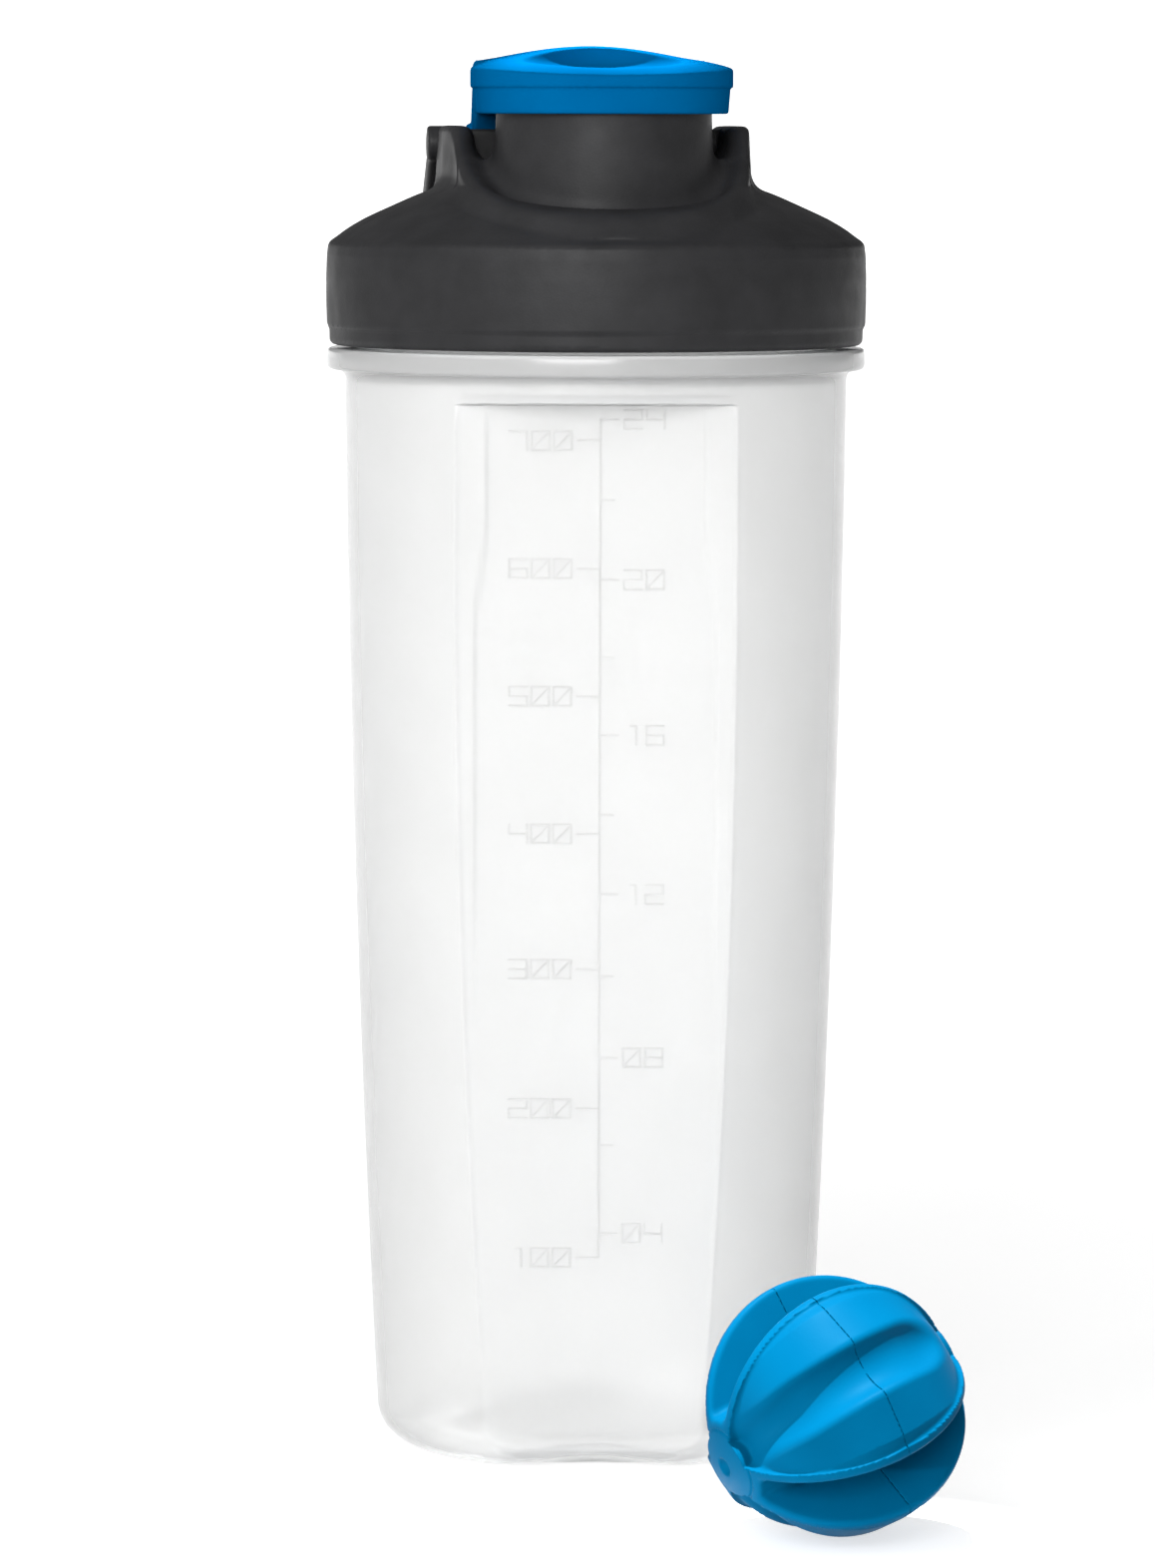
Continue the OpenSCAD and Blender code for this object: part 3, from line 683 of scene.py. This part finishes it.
# ---------------------------------------------------------------- flip cap
CAP_R, CAP_Y, CAP_Z = 21.55, -12.3, 224.0
BACK_HALF, BACK_TAPER = 21.45, 1.65
RIM_Z, RIM_INSET, RIM_DRAFT = 228.3, 0.45, 0.08     # the step under the cap's upper band
BOWL_X, BOWL_Y, BOWL_AT, BOWL_Z = 14.0, 17.3, -11.0, 231.2
HOLLOW_Z, BARREL_HALF = 229.2, EAR_IN - 0.3
# (distance back, height) of the hinge block's corners
HINGE_BLOCK = [(8.6, 224.2), (15.4, 217.4), (20.8, 220.2), (17.4, 228.0), (12, 233.0), (8.6, 230)]
CAP_STEP = 0.38


def cap_plan(x, y, inset):
    """The cap seen from above, a disc with a squarer back."""
    disc = np.hypot(x, y - CAP_Y) - (CAP_R - inset)
    side = np.abs(x) - (BACK_HALF - inset - BACK_TAPER * step01(-4, 12, y))
    return smin(disc, np.maximum(side, np.maximum(-9.3 - y, y - 14.0)), 0.5)


def cap_field(x, y, z):
    """The cap shut, in the lid's own frame."""
    ax = np.abs(x)
    # crowned top, rolled off towards its front and sides
    along = np.clip((y + 34.5) / 42.5, 0, 1)
    crown = 0.0095 * x ** 2 / (1 + 0.0009 * x ** 2) * along ** 2
    roll = 0.03 * np.maximum(np.hypot(x, np.minimum(y - CAP_Y, 0)) - 16.2, 0) ** 2
    top = smin(234.45 + 0.1 * y, 235.5, 0.8) - crown - roll
    upper = smax(cap_plan(x, y, 0.0), RIM_Z - z, 0.35)
    lower = smax(cap_plan(x, y, RIM_INSET + RIM_DRAFT * (RIM_Z - z)), np.maximum(CAP_Z - z, z - 229.5), 0.5)
    form = smax(smin(upper, lower, 0.3), (z - top) * 0.98, 0.5)
    form = smax(form, y - 13.8, 1.2)
    # oval thumb scoop
    across = np.minimum((x / BOWL_X) ** 2 + ((y - BOWL_AT) / BOWL_Y) ** 2, 2.0) ** 3.2
    bowl = BOWL_Z + (top + crown + roll - BOWL_Z) * across
    form = smax(form, (z - bowl) * 0.5, 0.35)
    # hollow that takes the spout's rim and the seal
    recess = np.maximum(ax - (CAP_R - 3.6), np.maximum(CAP_Y - y, y - 6.3))
    hollow = smin(np.hypot(x, y - CAP_Y) - (CAP_R - 2.1), recess, 0.5)
    form = smax(form, -smax(hollow, z - HOLLOW_Z, 0.5), 0.4)
    # hinge block and barrel
    block = smax(outline(y, z, HINGE_BLOCK), ax - 19.7, 0.5)
    barrel = smax(from_hinge(y, z) - LUG_R, ax - BARREL_HALF, 0.4)
    form = smin(form, smin(block, barrel, 0.8), 0.7)
    return smax(form, -(from_hinge(y, z) - PIN_HOLE_R), 0.2)


piece("cap_moulding", *surface(cap_field, (-23.4, -35.4, 215.0), (23.4, 23.0, 237.4), CAP_STEP),
      "cap", "blue_cap", "flip_cap", CAP_BLUE, LID_TURN)

# ---------------------------------------------------------------- carry loop
HUB_IN, HUB_OUT, HUB_R = 23.4, 27.2, 2.9
LOOP_REACH, LOOP_ROUND, DROOP = 44.0, 11.0, math.radians(32)
RAIL_HALF, LOOP_T = 1.6, 4.2
LOOP_STEP = 0.38


def loop_field(x, y, z):
    """The loop at rest, drooping behind the hinge, in the lid's own frame."""
    ax = np.abs(x)
    c, s = math.cos(DROOP), math.sin(DROOP)
    dy, dz = y - HINGE_Y, z - HINGE_Z
    along, up = dy * c - dz * s, dy * s + dz * c
    mid = (HUB_IN + HUB_OUT) / 2
    side_x, end_y = mid - LOOP_ROUND, LOOP_REACH - LOOP_ROUND
    # distance from the rail's middle line: straight sides, round corners and a straight end
    corner = np.hypot(np.maximum(ax - side_x, 0), np.maximum(along - end_y, 0)) - LOOP_ROUND
    straight = np.where(along > ax - mid + LOOP_REACH, along - LOOP_REACH, ax - mid)
    far = np.where((ax > side_x) & (along > end_y), corner, straight)
    rail = smax(np.abs(far) - RAIL_HALF, np.abs(up) - LOOP_T / 2, 0.9)
    rail = smax(rail, -1.0 - along, 0.5)
    hub = smax(from_hinge(y, z) - HUB_R, np.maximum(HUB_IN - ax, ax - HUB_OUT), 0.6)
    form = smin(rail, hub, 0.8)
    return smax(form, -np.maximum(from_hinge(y, z) - PIN_HOLE_R, ax - HUB_OUT + 1), 0.2)


piece("loop_moulding", *surface(loop_field, (-28.2, 14.0, 189.4), (28.2, 59.0, 223.6), LOOP_STEP),
      "loop", "charcoal_lid", "carry_loop", CHARCOAL, LID_TURN)

# ---------------------------------------------------------------- agitator ball
BALL_AT, BALL_R = np.array([37.5, -92.0, 21.2]), 21.2
BALL_AXIS, BALL_SPIN = np.array([-0.817, -0.450, -0.360]), 20
HALF_PITCH = math.pi / 3        # half of the turn from one of the three wedges to the next
CORE_R, POLE, CHANNEL = 7.4, math.radians(20), math.radians(15.5)
POLAR_TAN = math.tan(math.radians(13.5))
FACE_R, FACE_TURN, FACE_SINK = 20.2, 0.36, 0.45
GROOVE_R, GROOVE_AT = 5.2, 22.8
GATE_R, GATE_OFF, RING_AT, RING_R = 1.6, 0.5, 6.1, 0.18
SEAM_GAP, SEAM_ROUND = 0.005, 0.015
BALL_STEP, BALL_EDGE, BALL_DEPTH = 0.32, 21.8, 22.4     # grid step, and the reach of the grid of each half
SKIN = 0.03                     # points this near to the whole ball's surface are not on the cut


def ball_frame():
    """Columns: the ball's own x, y and z; z is its axis."""
    axis = BALL_AXIS / np.linalg.norm(BALL_AXIS)
    toward = np.array([0.0, -1.0, 0.0])
    across = toward - toward @ axis * axis
    across /= np.linalg.norm(across)
    return np.stack([across, np.cross(axis, across), axis], 1) @ about_z(BALL_SPIN)


def ball_field(x, y, z):
    """The whole ball in its own frame: three wedges round a core, each with a folded face."""
    rho, psi = np.hypot(x, y), np.arctan2(y, x)
    fold = (psi + HALF_PITCH) % (2 * HALF_PITCH) - HALF_PITCH
    wx, wy = rho * np.cos(fold), rho * np.abs(np.sin(fold))
    sphere = np.sqrt(rho * rho + z * z) - BALL_R
    edge = HALF_PITCH - CHANNEL
    inset = wx * math.sin(edge) - wy * math.cos(edge)
    # sunk face of each wedge: two flats with a hollow between them
    turned = wx * math.cos(FACE_TURN) + wy * math.sin(FACE_TURN)
    flat = np.maximum(np.hypot(turned, z) - FACE_R, sphere + FACE_SINK)
    fade = step01(0.5, 0.88, np.abs(z) / BALL_R) + 1.8 * step01(0.4, 0.85, -z / BALL_R)
    groove = GROOVE_R - np.hypot(np.hypot(wx, z) - GROOVE_AT - fade, wy)
    face = smax(flat, groove, 1.1)
    # the wedge's rim stays on the sphere
    polar = rho - np.abs(z) * POLAR_TAN
    rim = np.maximum(sphere, np.minimum(inset - 1.7, polar - 0.4))
    form = smin(smax(face, sphere, 0.3), rim, 0.7)
    # channels between the wedges
    cut = smax(inset, smax(CORE_R - rho, np.abs(z) - BALL_R * math.cos(POLE), 1.5), 1.4)
    form = smax(form, -cut, 1.0)
    # moulding gate and a thin ring round each pole
    gate = np.sqrt(rho * rho + (np.abs(z) - BALL_R - GATE_OFF) ** 2) - GATE_R
    ring = np.hypot(rho - RING_AT, sphere) - RING_R
    return smax(smax(form, -gate, 0.2), -ring, 0.1)


def make_half(name, side, cad_node):
    """The half of the ball on one side of its parting line."""
    def field(x, y, z):
        return smax(ball_field(x, y, z), SEAM_GAP - side * z, SEAM_ROUND)

    low = -0.6 if side > 0 else -BALL_EDGE
    verts, quads, normals = surface(field, (-BALL_EDGE, -BALL_EDGE, low), (BALL_EDGE, BALL_EDGE, low + BALL_DEPTH),
                                    BALL_STEP)
    # the outer surface keeps its shading right up to the parting line
    depth, slope = gradient(ball_field, verts, NORMAL_REACH)
    outer = np.abs(depth) < SKIN
    normals[outer] = unit(slope[outer])
    turn = ball_frame()
    piece(name, verts @ turn.T + BALL_AT, quads, normals @ turn.T, "agitator", "blue_ball", cad_node, BALL_BLUE)


make_half("ball_near_half", 1, "agitator_near_half")
make_half("ball_far_half", -1, "agitator_far_half")

# ---------------------------------------------------------------- kept CAD nodes
for name, material in (("lid_gasket", SILICONE), ("spout_seal", SILICONE), ("hinge_pin", STEEL)):
    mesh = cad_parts[name].data
    mesh.materials.clear()
    mesh.materials.append(material)

# ---------------------------------------------------------------- floor, light and camera, in metres
FLOOR_HALF = 8.0
STRIP, LEFT, RIGHT = 1.3, 0.83, 0.40        # strengths of the surround
BEAM_EDGE, LAMP_R = 0.1, 0.006              # a spot's blend and size
LENS, SENSOR, CLIP = 168.0, 36.0, (0.05, 50)
CAMERA_AT, CAMERA_DOWN, CAMERA_ROLL = (-0.0032, -1.23, 0.225), 5.28, -0.13
OBJECT_AT, CAP_AT = (0, 0, 0.12), (0, -0.008, 0.2385)
BALL_TOP, BALL_LOW = (0.0375, -0.092, 0.021), (0.0375, -0.092, 0.012)


def soft_step(tree, value, start, end, low, high):
    return map_range(tree, value, start, end, low, high, interpolation_type="SMOOTHSTEP")


def calculated(tree, operation, *values):
    made = node(tree, "ShaderNodeMath", operation=operation)
    for number, value in enumerate(values):
        tree.links.new(value, made.inputs[number])
    return made.outputs["Value"]


def split_xyz(tree, space):
    coords = node(tree, "ShaderNodeTexCoord")
    split = node(tree, "ShaderNodeSeparateXYZ")
    tree.links.new(coords.outputs[space], split.inputs["Vector"])
    return split.outputs


def make_floor():
    """A pale floor that glows more towards the back, as the photo's does."""
    corners = [(-FLOOR_HALF, -FLOOR_HALF, 0), (FLOOR_HALF, -FLOOR_HALF, 0), (FLOOR_HALF, FLOOR_HALF, 0),
               (-FLOOR_HALF, FLOOR_HALF, 0)]
    mesh = bpy.data.meshes.new("floor")
    mesh.from_pydata(corners, [], [(0, 1, 2, 3)])
    floor = bpy.data.objects.new("floor", mesh)
    bpy.context.scene.collection.objects.link(floor)
    mat, tree, bsdf = shader("pale_floor")
    y = split_xyz(tree, "Object")["Y"]
    # painted light: the floor's glow rises from dim far in front to full just in front of the object, where it lifts
    # the shadows under the bottle and the ball and lights the ball from below
    near = soft_step(tree, y, -0.9, -0.3, 0.1, 0.62)
    far = soft_step(tree, y, 0.05, 1.2, 0.0, 0.36)
    tree.links.new(calculated(tree, "ADD", near, far), bsdf.inputs["Emission Strength"])
    colour_range(tree, bsdf, 3.0, (0.60, 0.60, 0.60), (0.62, 0.62, 0.62))
    bsdf.inputs["Roughness"].default_value = 0.9
    bsdf.inputs["Specular IOR Level"].default_value = 0.0
    bsdf.inputs["Emission Color"].default_value = (1, 1, 1, 1)
    mesh.materials.append(mat)


def make_world():
    """Studio surround: a white strip low behind the object, dim elsewhere and dimmer on the right."""
    world = bpy.data.worlds.new("studio")
    bpy.context.scene.world = world
    world.use_nodes = True
    tree = world.node_tree
    back = tree.nodes["Background"]
    back.inputs["Color"].default_value = (1, 1, 1, 1)
    at = split_xyz(tree, "Generated")
    behind = soft_step(tree, at["Y"], 0.6, 0.95, 0.0, STRIP)
    low = soft_step(tree, at["Z"], 0.02, 0.09, 1.0, 0.0)
    across = soft_step(tree, at["X"], -1.0, 1.0, LEFT, RIGHT)
    dim = soft_step(tree, at["Y"], -0.3, 0.4, 1.0, 0.3)
    side = calculated(tree, "MULTIPLY", across, dim)
    tree.links.new(calculated(tree, "MULTIPLY_ADD", behind, low, side), back.inputs["Strength"])


def light(name, kind, at, target, power):
    """A lamp that points at a target. Returns its data."""
    data = bpy.data.lights.new(name, kind)
    data.energy = power
    lamp = bpy.data.objects.new(name, data)
    lamp.location = at
    lamp.rotation_mode = "QUATERNION"
    lamp.rotation_quaternion = (Vector(target) - Vector(at)).to_track_quat("-Z", "Y")
    bpy.context.scene.collection.objects.link(lamp)
    return data


def area_light(name, at, target, size, power):
    data = light(name, "AREA", at, target, power)
    data.shape = "RECTANGLE"
    data.size, data.size_y = size


def spot_light(name, at, target, beam, power):
    data = light(name, "SPOT", at, target, power)
    data.spot_size, data.spot_blend = math.radians(beam), BEAM_EDGE
    data.shadow_soft_size = LAMP_R


def make_camera():
    data = bpy.data.cameras.new("camera")
    data.lens, data.sensor_width = LENS, SENSOR
    data.clip_start, data.clip_end = CLIP
    camera = bpy.data.objects.new("camera", data)
    camera.location = CAMERA_AT
    camera.rotation_euler = (math.radians(90 - CAMERA_DOWN), math.radians(CAMERA_ROLL), 0)
    bpy.context.scene.collection.objects.link(camera)
    bpy.context.scene.camera = camera


make_floor()
make_world()
area_light("key", (-1.1, -1.0, 1.0), OBJECT_AT, (1.0, 1.0), 5.2)
area_light("front", (-0.3, -1.9, 0.7), OBJECT_AT, (1.2, 0.8), 34)
spot_light("cap_spot", (0, 0.42, 0.52), CAP_AT, 4.1, 95)
spot_light("ball_spot", (0.02, -0.15, 0.55), BALL_TOP, 7.0, 56)
spot_light("ball_fill", (-0.39, -0.35, 0.012), BALL_LOW, 7.0, 10)
make_camera()
bpy.context.scene.view_settings.view_transform = "Standard"
